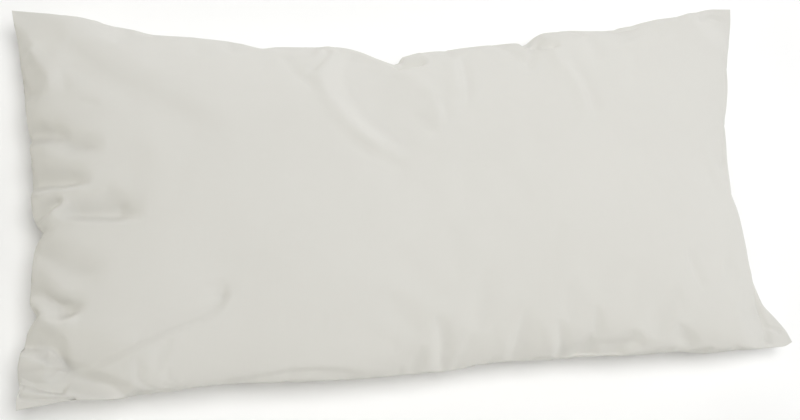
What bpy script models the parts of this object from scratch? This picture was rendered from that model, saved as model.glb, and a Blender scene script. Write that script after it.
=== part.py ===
"""A filled rectangular pillowcase of plain cotton, lying on its back.

The long side runs along X, the short side along Y and the face looks up along Z.
The case is one closed solid: a crowned front panel, a flatter back panel that
rests on z = 0, and the turned-in seam that joins them round the edge.
"""

from collections import namedtuple

import bmesh
import bpy
import numpy as np

MM = 0.001

# ---------------------------------------------------------------- main sizes
HALF_LENGTH = 0.390        # centre to the corner tips, along X
HALF_WIDTH = 0.191         # centre to the corner tips, along Y
SEAM_HEIGHT = 0.047        # the corner seams above the surface that the case lies on
SEAM_THICKNESS = 0.0022    # the turned-in layers where the panels meet
FRONT_CROWN = 0.070        # the front panel's rise above the seam
BACK_BELLY = 0.068         # how far the back panel would hang below the seam
REST_BLEND = 0.010         # the soft turn into the flat the case lies on
POWER_LONG = 4.4           # crown profile along X: fuller towards the short sides
POWER_SHORT = 2.6          # crown profile along Y
CELLS_LONG = 60            # grid cells of one panel along X
CELLS_SHORT = 30           # and along Y
CENTRE_X = 0.0018          # middle of the finished outline, which moves to X = 0
CENTRE_Y = -0.0024         # and to Y = 0
COTTON_COLOUR = (0.75, 0.74, 0.70)

# ------------------------------------------------- the seam line, side by side
# Station along the side, how far the seam is drawn in from the straight line
# between the corner tips, and how far it wanders up the side, in millimetres.
Edge = namedtuple("Edge", "station drawn_in lift")
TOP_EDGE = [
    Edge(-390, 0, 0), Edge(-356, 4, 0), Edge(-323, 11, 1), Edge(-289, 22, 2),
    Edge(-246, 32, 4), Edge(-200, 39, 6), Edge(-150, 48, 9), Edge(-75, 49, 8),
    Edge(30, 54, 6), Edge(75, 49, 7), Edge(134, 44, 7), Edge(156, 33, 6),
    Edge(220, 31, 4), Edge(265, 22, 3), Edge(300, 14, 2), Edge(340, 5, 0),
    Edge(370, 0, 0), Edge(390, 0, 0),
]
BOTTOM_EDGE = [
    Edge(-390, 0, 0), Edge(-343, 4, 1), Edge(-305, 3, 3), Edge(-281, 6, 5),
    Edge(-208, 6, 8), Edge(-160, 4, 9), Edge(-80, 1, 5), Edge(0, 1, -1),
    Edge(55, 5, -3), Edge(110, 2, -1), Edge(200, -1, 3), Edge(300, -5, 2),
    Edge(350, -5, 0), Edge(378, -5, 0), Edge(390, -1, 0),
]
LEFT_EDGE = [
    Edge(-191, 0, 0), Edge(-160, 1, 0), Edge(-125, 8, 2), Edge(-93, 12, 4),
    Edge(-50, 16, 3), Edge(0, 16, -2), Edge(50, 15, -1), Edge(104, 10, 3),
    Edge(146, 6, 2), Edge(175, 2, 0), Edge(191, 0, 0),
]
RIGHT_EDGE = [
    Edge(-191, 0, 0), Edge(-179, 5, 0), Edge(-165, 15, 0), Edge(-145, 29, 1),
    Edge(-115, 41, 3), Edge(-60, 46, 5), Edge(-10, 50, 7), Edge(40, 45, 8),
    Edge(87, 32, 6), Edge(122, 24, 4), Edge(150, 12, 2), Edge(175, 3, 0),
    Edge(191, 0, 0),
]

# ------------------------------------------------------------- tucks in the seam
# Where a gather pulls the seam in: side, station, extra depth and half width.
Tuck = namedtuple("Tuck", "side station depth half_width")
TUCKS = [
    Tuck("top", -19, 27, 12),
    Tuck("left", -32, 7, 8),
    Tuck("left", -109, 3, 8),
]

# ---------------------------------------------------------------- corner ears
# The unfilled cloth at each corner: the length that stays flat, the length over
# which the filling rises to its full height, how far the tip hangs down, and how
# far it reaches past the corner of the outline along X and Y, in millimetres.
Ear = namedtuple("Ear", "end side flat rise drop out_x out_y")
EARS = [
    Ear(-1, 1, 4, 60, 4, 0, 1),
    Ear(1, 1, 10, 60, 4, 1, 1),
    Ear(1, -1, 24, 48, 10, 6, 0),
    Ear(-1, -1, 22, 52, 12, 2, 0),
]

# ------------------------------------------------------------- uneven filling
# Where the filling lies thicker or thinner under the front panel: the middle of
# the place, its reach along X and Y, and the height it adds, in millimetres.
Lump = namedtuple("Lump", "x y reach_x reach_y height")
LUMPS = [
    Lump(170, -5, 130, 90, 3.5),
    Lump(-30, -35, 120, 70, 1.5),
    Lump(-190, 45, 120, 70, -2.0),
    Lump(-205, -92, 48, 42, -3.0),
    Lump(-330, -55, 50, 70, -3.5),
    Lump(335, 60, 50, 70, -3.0),
    Lump(-40, 60, 45, 40, -2.5),
]

# ------------------------------------------------------------------ main folds
# Each fold follows a smooth curve over the front panel through three places,
# in millimetres. A positive height is a ridge, a negative one a trough.
Fold = namedtuple("Fold", "name x0 y0 x1 y1 x2 y2 width height")
FOLDS = [
    Fold("corner ridge, upper left", -368, 172, -288, 112, -150, 48, 17, 4.5),
    Fold("trough under that ridge", -352, 128, -270, 70, -140, 8, 16, -5.0),
    Fold("second ridge, upper left", -345, 105, -290, 62, -225, 25, 13, 2.0),
    Fold("left pucker, upper", -366, 62, -336, 50, -306, 30, 8, -3.5),
    Fold("left pucker, middle", -368, 4, -340, -2, -308, 0, 8, -4.0),
    Fold("left dip behind the tuck", -350, -18, -312, -20, -272, -34, 11, -4.5),
    Fold("left pucker, lower", -370, -94, -346, -110, -322, -112, 9, -5.0),
    Fold("ridge under that pucker", -366, -112, -342, -124, -322, -128, 8, 3.0),
    Fold("left pucker, lowest", -378, -136, -356, -146, -340, -158, 9, -4.5),
    Fold("long crease, lower left", -335, -160, -262, -136, -205, -95, 9, -2.5),
    Fold("trough over the lower left ear", -362, -166, -325, -170, -292, -180, 9, -4.0),
    Fold("curved ridge from the top", -84, 122, -84, 62, -30, 14, 12, 4.0),
    Fold("trough beside that ridge", -66, 112, -62, 66, -12, 34, 11, -4.0),
    Fold("trough left of that ridge", -122, 104, -108, 68, -88, 40, 10, -2.5),
    Fold("fall from the top tuck", -22, 112, -6, 92, 16, 66, 11, -4.0),
    Fold("top pucker", 40, 118, 38, 92, 36, 64, 10, -2.5),
    Fold("top pucker, right", 160, 112, 167, 84, 172, 46, 10, -2.0),
    Fold("lower pucker", 2, -168, 4, -150, 4, -128, 9, -2.0),
    Fold("lower pucker, middle", 90, -172, 90, -156, 84, -134, 9, -2.5),
    Fold("lower pucker, right", 128, -176, 126, -160, 122, -144, 9, -2.5),
    Fold("crease, lower right", 256, -100, 268, -122, 286, -146, 9, -2.5),
    Fold("ridge, lower right", 222, -138, 252, -158, 276, -174, 10, 2.5),
]


def eased(table, column, at):
    """A column of the table at each station, on a smooth curve that never overshoots a row."""
    stations = np.array([row.station for row in table], float)
    values = np.array([getattr(row, column) for row in table], float)
    steps = np.diff(stations)
    slopes = np.diff(values) / steps
    lean = np.zeros_like(values)
    same = slopes[:-1] * slopes[1:] > 0
    total = np.where(same, slopes[:-1] + slopes[1:], 1.0)
    lean[1:-1] = np.where(same, 2 * slopes[:-1] * slopes[1:] / total, 0.0)
    lean[0], lean[-1] = slopes[0], slopes[-1]
    i = np.clip(np.searchsorted(stations, at) - 1, 0, len(steps) - 1)
    t = (at - stations[i]) / steps[i]
    return (
        (2 * t**3 - 3 * t**2 + 1) * values[i]
        + (t**3 - 2 * t**2 + t) * steps[i] * lean[i]
        + (3 * t**2 - 2 * t**3) * values[i + 1]
        + (t**3 - t**2) * steps[i] * lean[i + 1]
    )


def profile(share, power):
    """The crown's height, 1 in the middle and 0 on the seam, where it stands upright."""
    return np.sqrt(np.maximum(1 - np.abs(share) ** power, 0))


def even_steps(half_size, power):
    """Shares of the half size that lie evenly spaced along the crown's own curve."""
    share = 1 - (1 - np.linspace(0, 1, 4001)) ** 2
    height = profile(share, power) * FRONT_CROWN
    run = np.concatenate([[0], np.cumsum(np.hypot(np.diff(share) * half_size, np.diff(height)))])
    return run / run[-1], share


def spread(cell, steps):
    return np.sign(cell) * np.interp(np.abs(cell), *steps)


def smooth_step(value):
    value = np.clip(value, 0, 1)
    return value * value * (3 - 2 * value)


def tuck_depth(side, at, share):
    """How far the tucks of one side pull a point in, fading from the seam inwards."""
    depth = np.zeros_like(at)
    for tuck in TUCKS:
        if tuck.side == side:
            across = np.abs(at - tuck.station) / tuck.half_width
            depth += tuck.depth * np.exp(-(across**1.4)) * smooth_step((share - 0.72) / 0.28) ** 2
    return depth


def lump_heights(x, y):
    """What the uneven filling adds to the crown, in metres."""
    added = np.zeros_like(x)
    for lump in LUMPS:
        across = ((x / MM - lump.x) / lump.reach_x) ** 2 + ((y / MM - lump.y) / lump.reach_y) ** 2
        added += lump.height * MM * np.exp(-across)
    return added


def panel(long_cell, short_cell, front):
    """Places of the panel's grid points, in metres, before its folds."""
    u = spread(long_cell, even_steps(HALF_LENGTH, POWER_LONG))
    v = spread(short_cell, even_steps(HALF_WIDTH, POWER_SHORT))
    x_line = u * HALF_LENGTH / MM
    y_line = v * HALF_WIDTH / MM
    ends = RIGHT_EDGE, LEFT_EDGE
    sides = TOP_EDGE, BOTTOM_EDGE
    in_x = np.where(u > 0, *(eased(edge, "drawn_in", y_line) for edge in ends))
    in_y = np.where(v > 0, *(eased(edge, "drawn_in", x_line) for edge in sides))
    in_x += np.where(u < 0, tuck_depth("left", y_line, -u), 0)
    in_y += np.where(v > 0, tuck_depth("top", x_line, v), 0)
    x = u * (HALF_LENGTH - in_x * MM)
    y = v * (HALF_WIDTH - in_y * MM)
    lift = np.where(u > 0, *(eased(edge, "lift", y_line) for edge in ends)) * np.abs(u) ** 3
    lift += np.where(v > 0, *(eased(edge, "lift", x_line) for edge in sides)) * np.abs(v) ** 3
    seam = SEAM_HEIGHT + lift * MM
    filled = profile(u, POWER_LONG) * profile(v, POWER_SHORT)
    for ear in EARS:
        reach = np.hypot(u - ear.end, (v - ear.side) * HALF_WIDTH / HALF_LENGTH) * HALF_LENGTH / MM
        filled = filled * (0.12 + 0.88 * smooth_step((reach - ear.flat) / ear.rise))
        tip = 1 - smooth_step(reach / 90)
        seam = seam - ear.drop * MM * tip
        x = x + ear.end * ear.out_x * MM * tip
        y = y + ear.side * ear.out_y * MM * tip
    if front:
        top = SEAM_HEIGHT + FRONT_CROWN + lump_heights(x, y)
        z = seam + SEAM_THICKNESS / 2 + (top - seam) * filled
    else:
        z = seam - SEAM_THICKNESS / 2 - (BACK_BELLY + seam - SEAM_HEIGHT) * filled
        soft = (z + REST_BLEND) ** 2 / (4 * REST_BLEND)
        z = np.where(z >= REST_BLEND, z, np.where(z <= -REST_BLEND, 0.0, soft))
    return np.stack([x, y, z], axis=-1)


def fold_heights(points):
    """How far each front point is raised or lowered by the folds, in metres."""
    flat = points[..., :2] / MM
    rise = np.zeros(points.shape[:2])
    along = np.linspace(0, 1, 25)
    for fold in FOLDS:
        start, middle, end = np.array([(fold.x0, fold.y0), (fold.x1, fold.y1), (fold.x2, fold.y2)], float)
        pull = 2 * middle - 0.5 * (start + end)
        path = (
            ((1 - along) ** 2)[:, None] * start
            + (2 * along * (1 - along))[:, None] * pull
            + (along**2)[:, None] * end
        )
        gap = np.linalg.norm(flat[..., None, :] - path, axis=-1)
        nearest = gap.argmin(axis=-1)
        t = along[nearest]
        fade = smooth_step(t / 0.22) * smooth_step((1 - t) / 0.35)
        rise += fold.height * MM * fade * np.exp(-((gap.min(axis=-1) / fold.width) ** 2))
    return rise


def normals_of(points):
    along_u = np.gradient(points, axis=0)
    along_v = np.gradient(points, axis=1)
    normal = np.cross(along_u, along_v)
    return normal / np.maximum(np.linalg.norm(normal, axis=-1, keepdims=True), 1e-12)


def add_panel(mesh, front):
    """Adds one panel as a grid of quads, shaped and folded."""
    first = len(mesh.faces)
    made = bmesh.ops.create_grid(mesh, x_segments=CELLS_LONG, y_segments=CELLS_SHORT, size=1.0)
    long_cells = np.linspace(-1, 1, CELLS_LONG + 1)
    short_cells = np.linspace(-1, 1, CELLS_SHORT + 1)
    a, b = np.meshgrid(long_cells, short_cells, indexing="ij")
    places = panel(a, b, front)
    if front:
        inside = smooth_step((1 - np.abs(a)) / 0.04) * smooth_step((1 - np.abs(b)) / 0.07)
        places = places + normals_of(places) * (fold_heights(places) * inside)[..., None]
    for vertex in made["verts"]:
        i = round((vertex.co.x + 1) / 2 * CELLS_LONG)
        j = round((vertex.co.y + 1) / 2 * CELLS_SHORT)
        vertex.co = places[i, j] - (CENTRE_X, CENTRE_Y, 0)
    if not front:
        mesh.faces.ensure_lookup_table()
        bmesh.ops.reverse_faces(mesh, faces=mesh.faces[first:])


def make_pillowcase():
    mesh = bmesh.new()
    add_panel(mesh, True)
    add_panel(mesh, False)
    seam = [edge for edge in mesh.edges if edge.is_boundary]
    bmesh.ops.bridge_loops(mesh, edges=seam)
    bmesh.ops.triangulate(mesh, faces=mesh.faces[:], quad_method="SHORT_EDGE")
    bmesh.ops.recalc_face_normals(mesh, faces=mesh.faces[:])
    data = bpy.data.meshes.new("pillowcase")
    mesh.to_mesh(data)
    mesh.free()
    data.shade_smooth()
    case = bpy.data.objects.new("pillowcase", data)
    bpy.context.scene.collection.objects.link(case)
    return case


def cotton():
    material = bpy.data.materials.new("cotton")
    material.use_nodes = True
    shader = material.node_tree.nodes["Principled BSDF"]
    shader.inputs["Base Color"].default_value = (*COTTON_COLOUR, 1.0)
    shader.inputs["Roughness"].default_value = 0.85
    shader.inputs["Metallic"].default_value = 0.0
    return material


def main():
    for old in list(bpy.data.objects):
        bpy.data.objects.remove(old, do_unlink=True)
    case = make_pillowcase()
    case.data.materials.append(cotton())


main()
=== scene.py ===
import math
from collections import namedtuple

import bpy
import numpy as np
from mathutils import Matrix, Vector


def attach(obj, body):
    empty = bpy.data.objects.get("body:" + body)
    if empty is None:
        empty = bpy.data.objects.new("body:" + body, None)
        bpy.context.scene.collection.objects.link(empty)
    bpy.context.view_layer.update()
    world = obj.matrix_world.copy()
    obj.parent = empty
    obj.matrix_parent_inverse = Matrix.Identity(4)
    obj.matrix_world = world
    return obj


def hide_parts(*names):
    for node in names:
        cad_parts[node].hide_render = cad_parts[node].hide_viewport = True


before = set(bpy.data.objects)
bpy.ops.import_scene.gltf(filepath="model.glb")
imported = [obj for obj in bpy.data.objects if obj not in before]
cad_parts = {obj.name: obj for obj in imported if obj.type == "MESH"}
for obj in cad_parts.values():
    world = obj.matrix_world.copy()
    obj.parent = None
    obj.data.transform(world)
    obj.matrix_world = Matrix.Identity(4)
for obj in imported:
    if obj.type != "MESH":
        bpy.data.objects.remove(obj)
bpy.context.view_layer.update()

MM = 0.001

# ---------------------------------------------------------------- main sizes
HALF_LENGTH = 0.390        # centre to the corner tips, along X
HALF_WIDTH = 0.191         # centre to the corner tips, along Y
SEAM_HEIGHT = 0.047        # the corner seams above the surface that the case lies on
SEAM_THICKNESS = 0.0022    # the turned-in layers where the panels meet
FRONT_CROWN = 0.070        # the front panel's rise above the seam
BACK_BELLY = 0.068         # how far the back panel would hang below the seam
REST_BLEND = 0.010         # the soft turn into the flat the case lies on
POWER_LONG = 4.4           # crown profile along X towards the right end
POWER_LEFT = 3.3           # and towards the left end, which falls off sooner
POWER_SHORT = 2.6          # crown profile along Y
CENTRE_X = 0.0018          # middle of the outline, which lies at X = 0
CENTRE_Y = -0.0024
CUT_LONG = 800.0           # one panel as it was cut, in millimetres
CUT_SHORT = 400.0
CELLS_LONG = 372           # grid cells of the front panel along X
CELLS_SHORT = 186          # and along Y
FINE_RINGS = 10            # rings of the back panel that keep the front's fine grid
GROOVE = 1.6               # how deep the seam lies between the panels, in millimetres

# ------------------------------------------------------ the cloth simulation
CLOTH_CELL = 2             # grid cells of the case to one cell of the simulated cloth
CLOTH_FRAMES = 16
CLOTH_SPARE = 0.015        # most spare length the cloth has, as a share of its own
FRONT_HOLD = 0.10          # how firmly the filling holds the front panel, from 0 to 1
BACK_HOLD = 0.55           # and the back panel, which is pressed flat

# Where the panels have length to spare: side, share of the most, how far it reaches in.
Spare = namedtuple("Spare", "side share reach")
SPARES = [
    Spare("left", 1.0, 60), Spare("bottom", 0.8, 50), Spare("top", 0.45, 45), Spare("right", 0.4, 40),
]

# Where the filling presses against the front panel and holds it as it is.
Firm = namedtuple("Firm", "s t reach")
FIRM_PLACES = [
    Firm(-6, 150, 30), Firm(136, 158, 28), Firm(-330, -176, 40), Firm(-195, -168, 44), Firm(-145, -178, 44), Firm(-95, -180, 40),
]

# ------------------------------------------------- the seam line, side by side
Edge = namedtuple("Edge", "station drawn_in lift")
TOP_EDGE = [
    Edge(-390, 0, 0), Edge(-356, 4, 0), Edge(-323, 11, 1), Edge(-289, 22, 2),
    Edge(-246, 32, 4), Edge(-200, 39, 6), Edge(-150, 48, 9), Edge(-75, 49, 8),
    Edge(30, 53, 6), Edge(75, 49, 7), Edge(122, 45, 7), Edge(150, 33, 6),
    Edge(220, 31, 4), Edge(265, 22, 3), Edge(300, 14, 2), Edge(340, 5, 0),
    Edge(370, 0, 0), Edge(390, 0, 0),
]
BOTTOM_EDGE = [
    Edge(-390, 0, 0), Edge(-343, 4, 9), Edge(-305, 2, 10), Edge(-281, 5, 9),
    Edge(-208, 7, 8), Edge(-160, 4, 9), Edge(-80, 1, 5), Edge(0, 1, -1),
    Edge(55, 5, -3), Edge(110, 4, -1), Edge(155, 3, 1), Edge(200, 0, 3),
    Edge(260, -1, 3), Edge(300, -4, 2),
    Edge(350, -5, 0), Edge(378, -5, 0), Edge(390, -1, 0),
]
LEFT_EDGE = [
    Edge(-191, 0, 0), Edge(-160, 1, 0), Edge(-125, 8, 2), Edge(-93, 12, 4),
    Edge(-50, 16, 3), Edge(0, 16, -2), Edge(50, 15, -1), Edge(104, 10, 3),
    Edge(146, 6, 2), Edge(175, 2, 0), Edge(191, 0, 0),
]
RIGHT_EDGE = [
    Edge(-191, 0, 0), Edge(-179, 5, 0), Edge(-165, 15, 0), Edge(-147, 30, 1),
    Edge(-115, 42, 3), Edge(-60, 46, 5), Edge(-10, 50, 7), Edge(40, 45, 8),
    Edge(87, 32, 6), Edge(122, 24, 4), Edge(150, 12, 2), Edge(175, 3, 0),
    Edge(191, 0, 0),
]

# Where a gather pulls the seam in by depth and down by sink: before and after are
# its half widths towards the smaller and the larger stations, and power is 1 for a
# sharp notch and 2 for a round one.
Tuck = namedtuple("Tuck", "side station depth sink before after power")
TUCKS = [
    Tuck("top", -27, 38, 12, 13, 14, 1.1),
    Tuck("top", 122, 3, 7, 5, 22, 1.5),
    Tuck("left", 58, 2, 0, 4, 4, 1.4),
    Tuck("left", -32, 9, 0, 10, 10, 1.4),
    Tuck("left", -109, 8, 0, 9, 9, 1.4),
    Tuck("left", -172, 3, 0, 5, 5, 1.4),
    Tuck("bottom", -150, 1, 0, 6, 6, 1.4),
]

# The unfilled cloth at each corner, which reaches further along X than along Y by the factor along.
Ear = namedtuple("Ear", "end side flat rise drop out_x out_y along", defaults=(1.0,))
EARS = [
    Ear(-1, 1, 4, 60, 4, 0, 1),
    Ear(1, 1, 10, 60, 4, 1, 1),
    Ear(1, -1, 24, 48, 10, 6, 0),
    Ear(-1, -1, 24, 50, -4, 0, 0, 1.7),
]

# Where the filling lies thicker or thinner under the front panel.
Lump = namedtuple("Lump", "x y reach_x reach_y height")
LUMPS = [
    Lump(190, 0, 150, 100, 5.0),
    Lump(-10, -35, 120, 70, 2.0),
    Lump(-240, 20, 130, 90, -2.5),
    Lump(-205, -92, 48, 42, -3.0),
    Lump(-330, -55, 50, 70, -3.5),
    Lump(335, 60, 50, 70, -3.0),
    Lump(-40, 60, 45, 40, -2.5),
]

# ------------------------------------------------------------------ the folds
# Each fold follows a smooth line through places on the flat panel, in
# millimetres from its middle: s along the long side, t along the short side.
# left and right are its half widths on either side of the line, looking along
# it. A positive height is a ridge and a negative one a trough. crisp is 0 for a
# soft roll of cloth and 1 for flat facets that meet in a crease. fade_in and fade_out are the
# lengths over which it starts and ends, and fan is its width at its far end over
# that at its start.
Fold = namedtuple("Fold", "name line left right height crisp fade_in fade_out fan", defaults=(1.0,))
FRONT_FOLDS = [
    Fold("upper left ridge", ((-348, 176), (-317, 147), (-296, 131), (-270, 116), (-233, 91), (-200, 64), (-158, 25)), 20, 18, 1.7, 0, 34, 80, 1.4),
    Fold("upper left trough", ((-368, 168), (-327, 128), (-303, 106), (-274, 91), (-241, 69), (-207, 41), (-170, 14)), 14, 22, -2.0, 0, 70, 80, 1.4),
    Fold("second ridge", ((-352, 142), (-343, 114), (-329, 97), (-305, 82), (-272, 69)), 10, 12, 1.4, 0, 30, 40),
    Fold("short crease on it", ((-331, 80), (-316, 76), (-303, 74)), 3, 4, -0.7, 0.6, 8, 10),
    Fold("dent in the left side", ((-404, 172), (-402, 140), (-402, 110), (-404, 76)), 17, 6, -10.0, 0.6, 24, 20, 2.0),
    Fold("ridge beside the dent", ((-376, 140), (-364, 122), (-352, 101), (-356, 84)), 9, 8, 3.0, 0.4, 16, 12),
    Fold("ledge over pucker 1", ((-416, 76), (-380, 70), (-350, 64)), 5, 5, 1.4, 0.2, 10, 14),
    Fold("pucker 1", ((-418, 60), (-380, 54), (-358, 50), (-334, 47)), 17, 9, -8.0, 0.45, 10, 26, 0.6),
    Fold("pucker 1, second part", ((-368, 42), (-348, 40), (-330, 37), (-303, 33)), 12, 9, -6.6, 0.5, 34, 30, 0.7),
    Fold("pucker 2", ((-418, 13), (-372, 9), (-344, 6), (-314, 5)), 21, 6, -10.5, 0.55, 10, 34, 0.45),
    Fold("ridge under pucker 2", ((-386, 1), (-363, 0), (-344, 0), (-322, 0)), 3, 6, 2.4, 0.3, 8, 14),
    Fold("three-sided dip", ((-418, -22), (-386, -18), (-367, -13), (-347, -6)), 16, 3.5, -7.5, 0.6, 10, 16, 0.5),
    Fold("thin ridge", ((-345, -8), (-355, -14), (-366, -20)), 2.4, 2.4, 1.6, 0.4, 4, 4),
    Fold("grey fold", ((-366, -19), (-333, -23), (-304, -26), (-270, -29)), 16, 5, -9.5, 0.5, 30, 30, 0.85),
    Fold("its steep end", ((-313, -2), (-305, -12), (-292, -27)), 8, 14, -2.2, 0.4, 8, 8),
    Fold("fall from the left notch", ((-418, -34), (-378, -50), (-345, -66), (-303, -79)), 18, 20, -7.0, 0.3, 10, 40, 0.6),
    Fold("arc", ((-418, -78), (-388, -81), (-371, -89), (-358, -99), (-343, -104), (-322, -98)), 15, 7, -9.5, 0.5, 10, 28, 0.7),
    Fold("ridge under the arc", ((-388, -97), (-368, -107), (-350, -113), (-328, -112)), 4, 7, 2.8, 0.3, 6, 12),
    Fold("low trough", ((-418, -118), (-380, -129), (-359, -136), (-348, -144), (-334, -155)), 26, 5, -12.5, 0.7, 10, 22, 0.35),
    Fold("ridge under it", ((-408, -128), (-376, -136), (-358, -143), (-342, -152)), 4, 7, 3.0, 0.3, 8, 8),
    Fold("long crease", ((-350, -156), (-335, -155), (-318, -152), (-300, -145), (-279, -139), (-257, -131), (-232, -124), (-214, -116), (-205, -105), (-207, -88)), 12, 4, -3.4, 0.6, 14, 20),
    Fold("dent at its end", ((-204, -110), (-213, -88)), 13, 13, -1.6, 0, 10, 10),
    Fold("line by the lower left corner", ((-414, -148), (-376, -150), (-354, -150)), 4, 4, -1.4, 0.4, 8, 6),
    Fold("corner dip", ((-414, -154), (-380, -160), (-364, -168), (-350, -174), (-337, -178)), 10, 3, -6.0, 0.6, 8, 5, 1.0),
    Fold("small corner ridge", ((-388, -164), (-366, -172), (-346, -180)), 2.5, 5, 2.8, 0.4, 6, 6),
    Fold("corner cloth crease", ((-396, -170), (-363, -180), (-345, -187), (-324, -194)), 4, 3, -2.6, 0.4, 8, 8),
    Fold("trough over the corner wedge", ((-358, -149), (-340, -158), (-320, -167), (-302, -176), (-288, -192), (-282, -212)), 9, 9, -10.0, 0.7, 14, 1, 1.3),
    Fold("top crease", ((-133, 158), (-125, 126), (-113, 106), (-108, 84)), 8, 6, -1.7, 0.2, 14, 24),
    Fold("short top crease", ((-112, 124), (-100, 140), (-90, 158), (-86, 174)), 4.5, 4, -2.4, 0.3, 8, 6),
    Fold("curved ridge", ((-82, 186), (-96, 140), (-101, 111), (-97, 89), (-88, 67), (-76, 49), (-60, 31), (-44, 14)), 7, 9, 2.2, 0.1, 10, 34),
    Fold("drop beside it", ((-62, 168), (-75, 130), (-76, 96), (-68, 73), (-56, 53), (-40, 34), (-16, 12)), 44, 10, -3.4, 0.2, 20, 36),
    Fold("hollow behind the notch", ((-40, 140), (-48, 96), (-34, 62)), 24, 20, -1.6, 0, 20, 26),
    Fold("shade under the ridge's end", ((-92, 44), (-68, 22), (-46, 4), (-20, -14)), 9, 12, -1.0, 0, 20, 26),
    Fold("streak from the notch", ((-30, 136), (-12, 116), (2, 96), (8, 70), (6, 42)), 8, 9, 1.2, 0.1, 12, 26),
    Fold("lip of the notch", ((-27, 135), (-16, 140), (-4, 143), (10, 150)), 9, 4, -7.0, 0.5, 3, 12),
    Fold("roll behind the notch", ((-20, 154), (-6, 158), (12, 164)), 8, 9, 4.5, 0.2, 6, 10),
    Fold("trough in the hollow", ((-20, 74), (-8, 51), (6, 28)), 8, 8, -1.0, 0, 16, 18),
    Fold("trough beside the streak", ((12, 92), (15, 68), (14, 44)), 6, 6, -1.3, 0.1, 14, 18),
    Fold("top ridge 3", ((35, 158), (31, 114), (28, 82)), 9, 9, 1.6, 0, 14, 24),
    Fold("top crease 3", ((43, 158), (43, 105), (37, 66)), 6, 6, -1.8, 0.2, 14, 28),
    Fold("top crease 4", ((86, 186), (98, 160), (108, 136), (114, 112)), 7, 12, -2.2, 0.1, 6, 26, 0.6),
    Fold("top crease 5", ((118, 182), (115, 138), (110, 112)), 9, 5, -2.2, 0.2, 6, 24, 0.6),
    Fold("dip at the step", ((121, 172), (130, 155), (141, 146), (152, 151)), 9, 4, -5.5, 0.4, 6, 10),
    Fold("top crease 6", ((124, 160), (135, 119), (140, 88)), 7, 7, -1.0, 0.1, 14, 22),
    Fold("top ridge 7", ((140, 140), (160, 97), (168, 71), (173, 38)), 8, 8, 1.5, 0.1, 18, 28),
    Fold("top crease 7", ((150, 134), (169, 94), (179, 68), (184, 34)), 7, 7, -1.5, 0.1, 18, 28),
    Fold("top crease 8", ((181, 160), (189, 130), (193, 104)), 9, 9, -1.6, 0, 10, 22),
    Fold("top crease 9", ((232, 140), (231, 108), (223, 76)), 10, 10, -1.0, 0, 18, 24),
    Fold("line inside the top edge", ((204, 188), (228, 181), (254, 174)), 4, 4, -2.4, 0.3, 10, 12),
    Fold("upper right corner trough", ((322, 160), (354, 171), (378, 169)), 5, 5, -1.6, 0.2, 12, 8),
    Fold("line inside the right edge", ((366, 132), (369, 80), (372, 36)), 2.5, 2.5, -1.0, 0.5, 12, 12),
    Fold("right edge dip", ((376, 42), (368, 14), (359, -14)), 4, 4, -2.4, 0.2, 10, 12),
    Fold("right crease", ((272, -80), (279, -100), (284, -114), (288, -128)), 8, 5, -1.8, 0.4, 14, 14),
    Fold("right dent", ((314, -96), (332, -108), (350, -119)), 12, 12, -2.0, 0, 12, 12),
    Fold("lower right corner crease", ((384, -108), (377, -126), (372, -143), (360, -164), (350, -188)), 5, 5, -4.0, 0.6, 6, 8),
    Fold("lower right corner ridge", ((362, -159), (372, -163), (384, -170)), 4, 3, -1.6, 0.5, 6, 6),
    Fold("crease over the underside", ((-214, -199), (-188, -193), (-166, -187), (-144, -183), (-122, -181), (-99, -184), (-75, -191)), 6, 14, -3.6, 0.3, 16, 20),
    Fold("lower ridge 1", ((-12, -200), (-16, -163), (-19, -136)), 10, 10, 1.3, 0, 6, 26, 0.7),
    Fold("lower crease 1", ((0, -200), (-4, -163), (-12, -132)), 8, 13, -1.8, 0, 6, 26, 0.6),
    Fold("low crease 2", ((14, -200), (20, -168), (26, -146)), 9, 20, -1.9, 0, 6, 22, 0.6),
    Fold("faint crease over it", ((28, -152), (32, -133), (36, -106)), 10, 10, -1.0, 0, 16, 20),
    Fold("lower ridge 2", ((60, -200), (56, -166), (50, -142)), 9, 10, 1.3, 0, 6, 22, 0.8),
    Fold("lower crease 3", ((70, -200), (73, -158), (84, -128)), 9, 20, -2.6, 0, 6, 34, 0.5),
    Fold("ridge beside it", ((106, -190), (101, -162), (97, -140)), 6, 9, 1.1, 0, 6, 18),
    Fold("lower crease 5", ((114, -198), (114, -166), (112, -144)), 6, 10, -1.8, 0.1, 6, 18, 0.6),
    Fold("lower slot", ((108, -198), (132, -193), (160, -190), (196, -192)), 17, 4, -5.0, 0.1, 14, 22),
    Fold("shade over the slot", ((140, -196), (150, -160), (157, -132)), 10, 12, -1.8, 0, 6, 24, 0.5),
    Fold("shade beside the slot", ((150, -180), (176, -178), (206, -176)), 9, 8, -1.6, 0.1, 14, 20),
    Fold("low ridge 6", ((186, -150), (198, -160), (212, -169)), 7, 7, 0.8, 0.1, 10, 12),
    Fold("lower crease 6", ((176, -168), (190, -176), (212, -186)), 10, 8, -2.4, 0.4, 16, 16),
    Fold("lower right ridge", ((234, -140), (246, -149), (258, -160)), 8, 8, 0.8, 0.1, 12, 12),
    Fold("trough under it", ((228, -162), (242, -174), (262, -186)), 11, 8, -2.3, 0.4, 20, 18),
]

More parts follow.
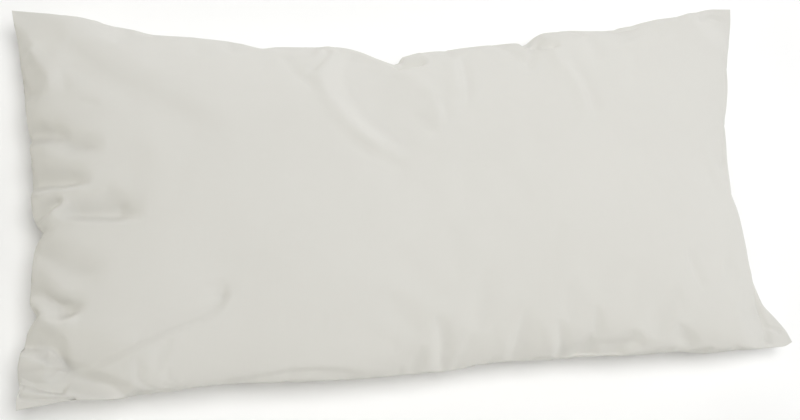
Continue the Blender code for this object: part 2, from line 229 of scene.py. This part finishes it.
# The back panel's folds run in from its corners and over its sides, seen from
# the front: s and t are the same directions as on the front panel.
BACK_FOLDS = [
    Fold("from corner 1", ((-372, 170), (-336, 138), (-290, 112), (-236, 92)), 12, 14, -3.0, 0, 14, 50),
    Fold("from corner 1, ridge", ((-366, 150), (-326, 116), (-284, 88)), 9, 10, 2.0, 0, 14, 40),
    Fold("from corner 2", ((372, 168), (330, 140), (286, 112), (240, 96)), 12, 12, -3.0, 0, 14, 50),
    Fold("from corner 3", ((370, -166), (334, -136), (292, -110), (246, -96)), 12, 14, -3.0, 0, 14, 50),
    Fold("from corner 4", ((-370, -164), (-330, -134), (-284, -108), (-236, -92)), 12, 12, -3.0, 0, 14, 50),
    Fold("long side 1", ((-30, 198), (-34, 168), (-28, 140)), 7, 7, -3.5, 0.2, 6, 20),
    Fold("long side 2", ((-4, 198), (4, 170), (2, 144)), 7, 7, -2.6, 0.2, 6, 20),
    Fold("long side 3", ((138, 198), (144, 172), (140, 148)), 7, 7, -2.4, 0.2, 6, 20),
    Fold("long side 4", ((-168, 198), (-162, 172), (-170, 146)), 8, 8, -2.0, 0.1, 6, 20),
    Fold("low side 1", ((-120, -198), (-126, -168), (-118, -140)), 8, 8, -2.4, 0.1, 6, 20),
    Fold("low side 2", ((30, -198), (26, -172), (34, -142)), 8, 8, -2.2, 0.1, 6, 20),
    Fold("low side 3", ((176, -198), (170, -170), (178, -146)), 8, 8, -2.6, 0.1, 6, 20),
    Fold("left end 1", ((-398, 30), (-372, 26), (-346, 34)), 7, 7, -3.0, 0.2, 6, 18),
    Fold("left end 2", ((-398, -42), (-370, -44), (-344, -36)), 7, 7, -3.0, 0.2, 6, 18),
    Fold("right end 1", ((398, 46), (372, 40), (346, 46)), 8, 8, -2.4, 0.1, 6, 18),
    Fold("right end 2", ((398, -52), (370, -50), (344, -58)), 8, 8, -2.4, 0.1, 6, 18),
]


# --------------------------------------------------------------------- lights
# Round soft boxes: azimuth counted from +X towards +Y, in degrees, metres and watts.
# warmth is how much less blue than red the light is.
Lamp = namedtuple("Lamp", "name azimuth elevation distance size watts warmth", defaults=(0.0,))
LAMPS = [
    Lamp("overhead", 0, 88, 2.0, 1.2, 29.0),
    Lamp("right, high", 0, 45, 2.0, 1.2, 5.2),
    Lamp("right, low", 0, 15, 2.0, 1.2, 10.3),
    Lamp("behind the long side", 90, 15, 2.0, 1.2, 16.3),
    Lamp("left, low", 180, 15, 2.0, 1.2, 11.0, 0.12),
    Lamp("near the low side", 270, 15, 2.0, 1.2, 12.5, 0.06),
]


# ---------------------------------------------------------------- base surface
def eased(table, column, at):
    """A column of the table at each station, on a smooth curve that never overshoots a row."""
    stations = np.array([row.station for row in table], float)
    values = np.array([getattr(row, column) for row in table], float)
    steps = np.diff(stations)
    slopes = np.diff(values) / steps
    lean = np.zeros_like(values)
    same = slopes[:-1] * slopes[1:] > 0
    total = np.where(same, slopes[:-1] + slopes[1:], 1.0)
    lean[1:-1] = np.where(same, 2 * slopes[:-1] * slopes[1:] / total, 0.0)
    lean[0], lean[-1] = slopes[0], slopes[-1]
    i = np.clip(np.searchsorted(stations, at) - 1, 0, len(steps) - 1)
    t = (at - stations[i]) / steps[i]
    return (
        (2 * t**3 - 3 * t**2 + 1) * values[i]
        + (t**3 - 2 * t**2 + t) * steps[i] * lean[i]
        + (3 * t**2 - 2 * t**3) * values[i + 1]
        + (t**3 - t**2) * steps[i] * lean[i + 1]
    )


def profile(share, power):
    return np.sqrt(np.maximum(1 - np.abs(share) ** power, 0))


def even_steps(half_size, power):
    share = 1 - (1 - np.linspace(0, 1, 4001)) ** 2
    height = profile(share, power) * FRONT_CROWN
    run = np.concatenate([[0], np.cumsum(np.hypot(np.diff(share) * half_size, np.diff(height)))])
    return run / run[-1], share


def spread(cell, steps):
    return np.sign(cell) * np.interp(np.abs(cell), *steps)


def smooth_step(value):
    value = np.clip(value, 0, 1)
    return value * value * (3 - 2 * value)


def tucked(side, column, at):
    total = np.zeros_like(at)
    for tuck in TUCKS:
        if tuck.side == side:
            off = at - tuck.station
            across = np.abs(off) / np.where(off < 0, tuck.before, tuck.after)
            total += getattr(tuck, column) * np.exp(-(across**tuck.power))
    return total


def lump_heights(x, y):
    added = np.zeros_like(x)
    for lump in LUMPS:
        across = ((x / MM - lump.x) / lump.reach_x) ** 2 + ((y / MM - lump.y) / lump.reach_y) ** 2
        added += lump.height * MM * np.exp(-across)
    return added


def panel(long_cell, short_cell, front):
    """Places of the panel's points before its folds, in metres."""
    u = spread(long_cell, even_steps(HALF_LENGTH, POWER_LONG))
    v = spread(short_cell, even_steps(HALF_WIDTH, POWER_SHORT))
    x_line = u * HALF_LENGTH / MM
    y_line = v * HALF_WIDTH / MM
    ends = RIGHT_EDGE, LEFT_EDGE
    sides = TOP_EDGE, BOTTOM_EDGE
    in_x = np.where(u > 0, *(eased(edge, "drawn_in", y_line) for edge in ends))
    in_y = np.where(v > 0, *(eased(edge, "drawn_in", x_line) for edge in sides))
    in_x += np.where(u < 0, tucked("left", "depth", y_line), 0) * smooth_step((-u - 0.72) / 0.28) ** 2
    in_y += np.where(v > 0, *(tucked(side, "depth", x_line) for side in ("top", "bottom"))) * smooth_step((np.abs(v) - 0.72) / 0.28) ** 2
    x = u * (HALF_LENGTH - in_x * MM)
    y = v * (HALF_WIDTH - in_y * MM)
    lift = np.where(u > 0, *(eased(edge, "lift", y_line) for edge in ends)) * np.abs(u) ** 3
    lift += np.where(v > 0, *(eased(edge, "lift", x_line) for edge in sides)) * np.abs(v) ** 3
    lift -= np.where(v > 0, tucked("top", "sink", x_line), 0) * smooth_step((v - 0.8) / 0.2) ** 2
    seam = SEAM_HEIGHT + lift * MM
    filled = np.where(u < 0, profile(u, POWER_LEFT), profile(u, POWER_LONG)) * profile(v, POWER_SHORT)
    for ear in EARS:
        away_x, away_y = (u - ear.end) * HALF_LENGTH / MM, (v - ear.side) * HALF_WIDTH / MM
        filled = filled * (0.12 + 0.88 * smooth_step((np.hypot(away_x / ear.along, away_y) - ear.flat) / ear.rise))
        tip = 1 - smooth_step(np.hypot(away_x, away_y) / 90)
        seam = seam - ear.drop * MM * tip
        x = x + ear.end * ear.out_x * MM * tip
        y = y + ear.side * ear.out_y * MM * tip
    if front:
        top = SEAM_HEIGHT + FRONT_CROWN + lump_heights(x, y)
        z = seam + SEAM_THICKNESS / 2 + (top - seam) * filled
    else:
        z = seam - SEAM_THICKNESS / 2 - (BACK_BELLY + seam - SEAM_HEIGHT) * filled
        soft = (z + REST_BLEND) ** 2 / (4 * REST_BLEND)
        z = np.where(z >= REST_BLEND, z, np.where(z <= -REST_BLEND, 0.0, soft))
    return np.stack([x, y, z], axis=-1)


# ----------------------------------------------------------------------- folds
def smooth_line(places, spacing=2.0):
    """Points close together on a smooth curve through the places, and their distance along it."""
    places = np.array(places, float)
    if len(places) == 2:
        knots = np.stack([places[0], places.mean(0), places[1]])
    else:
        knots = places
    padded = np.vstack([2 * knots[0] - knots[1], knots, 2 * knots[-1] - knots[-2]])
    run = []
    for p0, p1, p2, p3 in zip(padded, padded[1:], padded[2:], padded[3:]):
        count = max(2, int(np.linalg.norm(p2 - p1) / spacing))
        t = (np.arange(count) / count)[:, None]
        run.append(
            0.5 * (2 * p1 + (p2 - p0) * t + (2 * p0 - 5 * p1 + 4 * p2 - p3) * t**2 + (3 * p1 - p0 - 3 * p2 + p3) * t**3)
        )
    line = np.vstack([*run, knots[-1:]])
    along = np.concatenate([[0], np.cumsum(np.linalg.norm(np.diff(line, axis=0), axis=1))])
    return line, along


def fold_heights(folds, s, t):
    """What the folds add along the panel's normal at the cloth places (s, t), in millimetres."""
    shape = s.shape
    s, t = s.ravel(), t.ravel()
    rise = np.zeros(s.shape)
    for fold in folds:
        line, along = smooth_line(fold.line)
        reach = 3.2 * max(fold.left, fold.right) * max(1, fold.fan)
        near = np.flatnonzero(
            (s > line[:, 0].min() - reach) & (s < line[:, 0].max() + reach)
            & (t > line[:, 1].min() - reach) & (t < line[:, 1].max() + reach)
        )
        if not len(near):
            continue
        p = np.stack([s[near], t[near]], 1)
        best = np.full(len(near), 1e9)
        side = np.zeros(len(near))
        where = np.zeros(len(near))
        for i in range(len(line) - 1):
            a, step = line[i], line[i + 1] - line[i]
            length = np.hypot(*step)
            share = np.clip(((p - a) @ step) / length**2, 0, 1)
            off = p - a - share[:, None] * step
            gap = np.hypot(off[:, 0], off[:, 1])
            closer = gap < best
            best = np.where(closer, gap, best)
            side = np.where(closer, step[0] * off[:, 1] - step[1] * off[:, 0], side)
            where = np.where(closer, along[i] + share * length, where)
        signed = np.tanh(side / 2.0)
        width = 0.5 * (fold.left * (1 + signed) + fold.right * (1 - signed))
        width = width * (1 + (fold.fan - 1) * where / along[-1])
        across = np.sqrt(best**2 + (0.8 * fold.crisp) ** 2) / width
        rolled = np.exp(-(across**2))
        facet = 1 - across / 1.5
        facet = 0.5 * (facet + np.sqrt(facet**2 + 0.004))
        fade = smooth_step(where / fold.fade_in) * smooth_step((along[-1] - where) / fold.fade_out)
        rise[near] += fold.height * fade * (rolled + fold.crisp * (facet - rolled))
    return rise.reshape(shape)


def smooth_noise(shape, reach, seed):
    """Seeded noise of mean 0 and spread 1, smooth over reach = (cells along s, cells along t)."""
    made = np.random.default_rng(seed).standard_normal(shape)
    fs = np.fft.fftfreq(shape[0])[:, None]
    ft = np.fft.rfftfreq(shape[1])[None, :]
    soft = np.exp(-2 * np.pi**2 * ((fs * reach[0]) ** 2 + (ft * reach[1]) ** 2))
    made = np.fft.irfft2(np.fft.rfft2(made) * soft, s=shape)
    return (made - made.mean()) / made.std()


def seam_puckers(s, t, seed, height):
    """Small folds that the stitching gathers, square to the seam, in millimetres."""
    total = np.zeros(s.shape)
    sides = [
        (CUT_SHORT / 2 - t, s, CUT_LONG), (CUT_SHORT / 2 + t, s, CUT_LONG),
        (CUT_LONG / 2 - s, t, CUT_SHORT), (CUT_LONG / 2 + s, t, CUT_SHORT),
    ]
    for n, (away, at, length) in enumerate(sides):
        stations = np.linspace(-length / 2, length / 2, int(length / 2) + 1)
        row = len(stations)
        wave = smooth_noise((row, 4), (3.0, 0.01), seed + n)[:, 0] + 0.8 * smooth_noise((row, 4), (6.5, 0.01), seed + 10 + n)[:, 0]
        reach = 16 + 5 * smooth_noise((row, 4), (7.0, 0.01), seed + 20 + n)[:, 0]
        strength = smooth_step(0.5 + 0.5 * smooth_noise((row, 4), (16.0, 0.01), seed + 30 + n)[:, 0])
        wave = np.interp(at, stations, wave * (0.25 + 0.75 * strength))
        reach = np.interp(at, stations, np.clip(reach, 8, 34))
        total += height * wave * np.exp(-away / reach) * smooth_step(away / 5)
    return total


def normals_of(points):
    along_u = np.gradient(points, axis=0)
    along_v = np.gradient(points, axis=1)
    normal = np.cross(along_u, along_v)
    return normal / np.maximum(np.linalg.norm(normal, axis=-1, keepdims=True), 1e-12)


def case_points():
    """The front and back panels as grids of places, in metres, and the cloth places they were cut from."""
    a, b = np.meshgrid(
        np.linspace(-1, 1, CELLS_LONG + 1), np.linspace(-1, 1, CELLS_SHORT + 1), indexing="ij"
    )
    s, t = a * CUT_LONG / 2, b * CUT_SHORT / 2
    to_seam = np.minimum(CUT_LONG / 2 - np.abs(s), CUT_SHORT / 2 - np.abs(t))
    inside = smooth_step(to_seam / 28)[..., None]
    to_corner = np.hypot(CUT_LONG / 2 - np.abs(s), CUT_SHORT / 2 - np.abs(t))
    body = smooth_step((to_corner - 25) / 60)

    front = panel(a, b, True)
    folded = fold_heights(FRONT_FOLDS, s, t)
    rise = seam_puckers(s, t, 100, 0.55) * body
    rise += 0.55 * smooth_noise(s.shape, (16, 12), 7) * smooth_step(to_seam / 30)
    rise += 0.10 * smooth_noise(s.shape, (4.0, 3.0), 8) * smooth_step(to_seam / 12)
    # At the seam itself the folds lift and lower the cloth, and further in they go square to it.
    up = np.array((0.0, 0.0, 1.0))
    square = normals_of(front)
    front = front + (inside * square + (1 - inside) * up) * (folded * MM)[..., None]
    front = front + square * (rise * MM)[..., None]

    back = panel(a, b, False)
    rise = fold_heights(BACK_FOLDS, s, t) * smooth_step(to_seam / 9)
    rise += seam_puckers(s, t, 200, 0.9) * body
    rise += 0.12 * smooth_noise(s.shape, (4.0, 3.0), 9) * smooth_step(to_seam / 12)
    back = back - normals_of(back) * (rise * MM)[..., None]
    back[..., 2] += folded * MM * np.exp(-((to_seam / 9) ** 2))
    back[..., 2] = np.maximum(back[..., 2], 0.0)

    # The seam itself lies a little inside the cloth on both sides of it.
    ring = 0.5 * (front + back)
    edge = (np.abs(a) == 1) | (np.abs(b) == 1)
    for points in (front, back):
        points[edge] = ring[edge]
    pull = GROOVE * MM * (0.25 + 0.75 * body)
    out_x = np.where(np.abs(a) == 1, np.sign(a), 0.0)
    out_y = np.where(np.abs(b) == 1, np.sign(b), 0.0)
    for points in (front, back):
        points[..., 0] -= out_x * pull * edge
        points[..., 1] -= out_y * pull * edge
        points -= (CENTRE_X, CENTRE_Y, 0)
    return front, back, s, t


def from_sides(s, t):
    """How far in from each side of the panel the cloth places lie, in millimetres."""
    return {
        "top": CUT_SHORT / 2 - t, "bottom": CUT_SHORT / 2 + t,
        "right": CUT_LONG / 2 - s, "left": CUT_LONG / 2 + s,
    }


def between(coarse):
    """The coarse grid's values with one more row between each two, on a smooth curve through them."""
    for _ in range(2):
        middle = 0.5 * (coarse[:-1] + coarse[1:])
        middle[1:-1] = (9 * (coarse[1:-2] + coarse[2:-1]) - coarse[:-3] - coarse[3:]) / 16
        fine = np.empty((len(coarse) + len(middle), *coarse.shape[1:]))
        fine[::2], fine[1::2] = coarse, middle
        coarse = np.swapaxes(fine, 0, 1)
    return coarse


def settled(front, back, s, t):
    """The panels after a cloth simulation in which cloth with length to spare gives way over the filling."""
    step = CLOTH_CELL
    cf, cb, cs, ct = front[::step, ::step], back[::step, ::step], s[::step, ::step], t[::step, ::step]
    count_a, count_b = cs.shape
    edge = np.zeros(cs.shape, bool)
    edge[0, :] = edge[-1, :] = edge[:, 0] = edge[:, -1] = True
    front_index = np.arange(cs.size).reshape(cs.shape)
    back_index = front_index.copy()
    back_index[~edge] = cs.size + np.arange((~edge).sum())
    start = np.vstack([cf.reshape(-1, 3), cb[~edge]])
    i, j = (grid.ravel() for grid in np.meshgrid(np.arange(count_a - 1), np.arange(count_b - 1), indexing="ij"))
    quads = [
        [front_index[i, j], front_index[i + 1, j], front_index[i + 1, j + 1], front_index[i, j + 1]],
        [back_index[i, j], back_index[i, j + 1], back_index[i + 1, j + 1], back_index[i + 1, j]],
    ]
    mesh = bpy.data.meshes.new("cloth_simulation")
    mesh.from_pydata(start.tolist(), [], np.hstack(quads).T.tolist())
    mesh.update()
    cloth = bpy.data.objects.new("cloth_simulation", mesh)
    bpy.context.scene.collection.objects.link(cloth)

    away = from_sides(cs, ct)
    to_corner = np.hypot(CUT_LONG / 2 - np.abs(cs), CUT_SHORT / 2 - np.abs(ct))
    body = smooth_step((to_corner - 20) / 70)
    spare = np.zeros(cs.shape)
    for row in SPARES:
        spare = np.maximum(spare, row.share * np.exp(-((away[row.side] / row.reach) ** 2)))
    spare = spare * body
    free = body.copy()
    for place in FIRM_PLACES:
        free *= smooth_step(np.hypot(cs - place.s, ct - place.t) / place.reach - 0.5)
    groups = {
        "hold": (1 - (1 - FRONT_HOLD) * free, 1 - (1 - BACK_HOLD) * body),
        "taut": (1 - spare, 1 - spare),
    }
    for name, (on_front, on_back) in groups.items():
        group = cloth.vertex_groups.new(name=name)
        weights = np.where(edge, 1.0, on_front) if name == "hold" else on_front
        for n, weight in enumerate([*weights.ravel().tolist(), *on_back[~edge].tolist()]):
            group.add([n], weight, "REPLACE")

    modifier = cloth.modifiers.new("cloth", "CLOTH")
    settings = modifier.settings
    settings.quality = 5
    settings.mass = 0.05
    settings.tension_stiffness = settings.compression_stiffness = 15.0
    settings.shear_stiffness = 5.0
    settings.bending_stiffness = 5.0
    settings.tension_damping = settings.compression_damping = settings.shear_damping = 1.0
    settings.bending_damping = 0.1
    settings.air_damping = 1.0
    settings.vertex_group_mass = "hold"
    settings.pin_stiffness = 1.0
    settings.vertex_group_shrink = "taut"
    settings.shrink_min = -CLOTH_SPARE
    settings.shrink_max = 0.0
    settings.effector_weights.gravity = 0.0
    modifier.collision_settings.use_collision = False
    modifier.collision_settings.use_self_collision = False
    modifier.point_cache.frame_start = 1
    modifier.point_cache.frame_end = CLOTH_FRAMES + 1

    scene = bpy.context.scene
    first, last, now = scene.frame_start, scene.frame_end, scene.frame_current
    scene.frame_start, scene.frame_end = 1, CLOTH_FRAMES + 1
    for number in range(1, CLOTH_FRAMES + 1):
        scene.frame_set(number)
    result = cloth.evaluated_get(bpy.context.evaluated_depsgraph_get()).data
    end = np.empty(len(start) * 3, np.float32)
    result.vertices.foreach_get("co", end)
    moved = end.reshape(-1, 3).astype(float) - start
    bpy.data.objects.remove(cloth)
    bpy.data.meshes.remove(mesh)
    scene.frame_start, scene.frame_end = first, last
    scene.frame_set(now)

    moved[front_index[edge]] = 0.0
    front = front + between(moved[front_index])
    back = back + between(moved[back_index])
    back[..., 2] = np.maximum(back[..., 2], 0.0)
    return front, back


def build_case():
    front, back, s, t = case_points()
    front, back = settled(front, back, s, t)
    count_a, count_b = s.shape
    places, cloth, faces = [], [], []
    front_index = np.arange(count_a * count_b).reshape(count_a, count_b)
    places.append(front.reshape(-1, 3))
    cloth.append(np.stack([s, t, np.zeros_like(s)], -1).reshape(-1, 3))
    i, j = np.meshgrid(np.arange(count_a - 1), np.arange(count_b - 1), indexing="ij")
    i, j = i.ravel(), j.ravel()
    quads = np.stack(
        [front_index[i, j], front_index[i + 1, j], front_index[i + 1, j + 1], front_index[i, j + 1]], 1
    )
    faces += quads.tolist()

    # The back shares the seam's points, keeps the fine grid near it, and has cells twice as large inside.
    k = FINE_RINGS
    keep = np.zeros((count_a, count_b), bool)
    keep[:, : k + 1] = keep[:, -k - 1 :] = True
    keep[: k + 1, :] = keep[-k - 1 :, :] = True
    keep[k:-k:2, k:-k:2] = True
    edge = np.zeros_like(keep)
    edge[0, :] = edge[-1, :] = edge[:, 0] = edge[:, -1] = True
    back_index = np.full((count_a, count_b), -1)
    back_index[edge] = front_index[edge]
    inner = keep & ~edge
    back_index[inner] = count_a * count_b + np.arange(inner.sum())
    places.append(back[inner])
    cloth.append(np.stack([s[inner], t[inner], np.full(inner.sum(), 1000.0)], -1))
    fine = (i < k) | (i >= count_a - 1 - k) | (j < k) | (j >= count_b - 1 - k)
    fi, fj = i[fine], j[fine]
    quads = np.stack(
        [back_index[fi, fj], back_index[fi, fj + 1], back_index[fi + 1, fj + 1], back_index[fi + 1, fj]], 1
    )
    faces += quads.tolist()
    for ci in range(k, count_a - 1 - k, 2):
        for cj in range(k, count_b - 1 - k, 2):
            ring = [
                (ci, cj), (ci, cj + 1), (ci, cj + 2), (ci + 1, cj + 2),
                (ci + 2, cj + 2), (ci + 2, cj + 1), (ci + 2, cj), (ci + 1, cj),
            ]
            faces.append([int(back_index[at]) for at in ring if back_index[at] >= 0])

    places = np.vstack(places)
    cloth = np.vstack(cloth) * MM
    mesh = bpy.data.meshes.new("pillowcase_cloth")
    mesh.from_pydata(places.tolist(), [], faces)
    mesh.update()
    held = mesh.attributes.new("cloth", "FLOAT_VECTOR", "POINT")
    held.data.foreach_set("vector", cloth.astype(np.float32).ravel())
    mesh.shade_smooth()
    case = bpy.data.objects.new("pillowcase_cloth", mesh)
    bpy.context.scene.collection.objects.link(case)
    return case


# ------------------------------------------------------------------- materials
def cotton_material():
    material = bpy.data.materials.new("cotton_percale")
    material.use_nodes = True
    tree = material.node_tree
    nodes, links = tree.nodes, tree.links
    shader = nodes["Principled BSDF"]
    shader.inputs["Roughness"].default_value = 0.88
    shader.inputs["Specular IOR Level"].default_value = 0.25
    shader.inputs["Sheen Weight"].default_value = 0.12
    shader.inputs["Sheen Roughness"].default_value = 0.55

    def node(kind, **values):
        made = nodes.new(kind)
        for key, value in values.items():
            if hasattr(made, key):
                setattr(made, key, value)
            else:
                made.inputs[key].default_value = value
        return made

    def maths(operation, first, second=None, clamp=False):
        made = nodes.new("ShaderNodeMath")
        made.operation = operation
        made.use_clamp = clamp
        for slot, value in enumerate((first, second)):
            if value is None:
                continue
            if isinstance(value, (int, float)):
                made.inputs[slot].default_value = value
            else:
                links.new(value, made.inputs[slot])
        return made.outputs[0]

    def stretched_noise(vector, scale, detail, roughness):
        mapped = nodes.new("ShaderNodeMapping")
        mapped.inputs["Scale"].default_value = scale
        links.new(vector, mapped.inputs["Vector"])
        noise = nodes.new("ShaderNodeTexNoise")
        noise.inputs["Scale"].default_value = 1.0
        noise.inputs["Detail"].default_value = detail
        noise.inputs["Roughness"].default_value = roughness
        links.new(mapped.outputs[0], noise.inputs["Vector"])
        return noise.outputs["Fac"]

    place = node("ShaderNodeAttribute", attribute_name="cloth")
    cloth = place.outputs["Vector"]
    split = nodes.new("ShaderNodeSeparateXYZ")
    links.new(cloth, split.inputs[0])

    # Plain weave: one thread over, one under, a third of a millimetre apart.
    per_metre = 2 * np.pi / 0.00066
    warp = maths("SINE", maths("MULTIPLY", split.outputs["X"], per_metre))
    weft = maths("SINE", maths("MULTIPLY", split.outputs["Y"], per_metre))
    weave = maths("MULTIPLY", warp, weft)

    # Threads that are a little thicker here and there run along each direction.
    thick_warp = stretched_noise(cloth, (1500, 26, 1), 2.0, 0.6)
    thick_weft = stretched_noise(cloth, (26, 1500, 1), 2.0, 0.6)
    threads = maths("ADD", thick_warp, thick_weft)
    rub = stretched_noise(cloth, (90, 90, 1), 4.0, 0.6)
    broad = stretched_noise(cloth, (9, 9, 1), 2.0, 0.5)

    tone = maths("ADD", maths("MULTIPLY", maths("SUBTRACT", threads, 1.0), 0.10), 0.5)
    tone = maths("ADD", tone, maths("MULTIPLY", maths("SUBTRACT", rub, 0.5), 0.10))
    tone = maths("ADD", tone, maths("MULTIPLY", maths("SUBTRACT", broad, 0.5), 0.12), clamp=True)
    ramp = nodes.new("ShaderNodeValToRGB")
    ramp.color_ramp.elements[0].position = 0.30
    ramp.color_ramp.elements[0].color = (0.640, 0.631, 0.592, 1)
    ramp.color_ramp.elements[1].position = 0.70
    ramp.color_ramp.elements[1].color = (0.678, 0.669, 0.631, 1)
    links.new(tone, ramp.inputs[0])
    links.new(ramp.outputs[0], shader.inputs["Base Color"])

    coarse = node("ShaderNodeBump", Strength=0.35, Distance=0.00035)
    links.new(rub, coarse.inputs["Height"])
    thread_bump = node("ShaderNodeBump", Strength=0.45, Distance=0.00012)
    links.new(threads, thread_bump.inputs["Height"])
    links.new(coarse.outputs[0], thread_bump.inputs["Normal"])
    weave_bump = node("ShaderNodeBump", Strength=0.5, Distance=0.00006)
    links.new(weave, weave_bump.inputs["Height"])
    links.new(thread_bump.outputs[0], weave_bump.inputs["Normal"])
    links.new(weave_bump.outputs[0], shader.inputs["Normal"])
    return material


def floor_material():
    material = bpy.data.materials.new("pale_floor")
    material.use_nodes = True
    shader = material.node_tree.nodes["Principled BSDF"]
    shader.inputs["Base Color"].default_value = (0.93, 0.93, 0.925, 1)
    shader.inputs["Roughness"].default_value = 0.9
    shader.inputs["Specular IOR Level"].default_value = 0.1
    return material


# ------------------------------------------------------------- camera and light
def add_camera():
    right = Vector((0.97243592, -0.09835402, 0.2114116))
    down = Vector((-0.04857591, -0.97224286, -0.22887595))
    ahead = Vector((0.22805429, 0.21229768, -0.95022152))
    turn = Matrix((right, -down, -ahead)).transposed().to_4x4()
    data = bpy.data.cameras.new("camera")
    data.sensor_width = 36.0
    data.lens = 36.0 * 963.65 / 800.0
    data.clip_start = 0.01
    data.clip_end = 50.0
    camera = bpy.data.objects.new("camera", data)
    place = Vector((-0.24596 - CENTRE_X, -0.23255 - CENTRE_Y, 0.96955))
    camera.matrix_world = Matrix.Translation(place) @ turn
    bpy.context.scene.collection.objects.link(camera)
    bpy.context.scene.camera = camera
    return camera


def add_lamp(lamp):
    data = bpy.data.lights.new(lamp.name, "AREA")
    data.shape = "DISK"
    data.size = lamp.size
    data.energy = lamp.watts
    data.color = (1.0, 1.0 - 0.2 * lamp.warmth, 1.0 - lamp.warmth)
    around, above = math.radians(lamp.azimuth), math.radians(lamp.elevation)
    place = lamp.distance * Vector(
        (math.cos(around) * math.cos(above), math.sin(around) * math.cos(above), math.sin(above))
    )
    toward = Vector((0, 0, 0.05)) - place
    light = bpy.data.objects.new(lamp.name, data)
    light.matrix_world = Matrix.Translation(place) @ toward.to_track_quat("-Z", "Y").to_matrix().to_4x4()
    light.visible_camera = False
    bpy.context.scene.collection.objects.link(light)


def add_world(colour, strength):
    world = bpy.data.worlds.new("studio")
    world.use_nodes = True
    background = world.node_tree.nodes["Background"]
    background.inputs["Color"].default_value = (*colour, 1)
    background.inputs["Strength"].default_value = strength
    bpy.context.scene.world = world


def add_floor():
    mesh = bpy.data.meshes.new("floor")
    half = 6.0
    mesh.from_pydata(
        [(-half, -half, -0.0003), (half, -half, -0.0003), (half, half, -0.0003), (-half, half, -0.0003)],
        [],
        [(0, 1, 2, 3)],
    )
    floor = bpy.data.objects.new("floor", mesh)
    bpy.context.scene.collection.objects.link(floor)
    floor.data.materials.append(floor_material())
    return floor


def main():
    bpy.context.scene.view_settings.view_transform = "Standard"
    add_camera()
    add_floor()
    add_world((1.0, 1.0, 1.0), 0.02)
    for lamp in LAMPS:
        add_lamp(lamp)

    case = build_case()
    case.data.materials.append(cotton_material())
    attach(case, "root")
    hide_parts("pillowcase")


main()
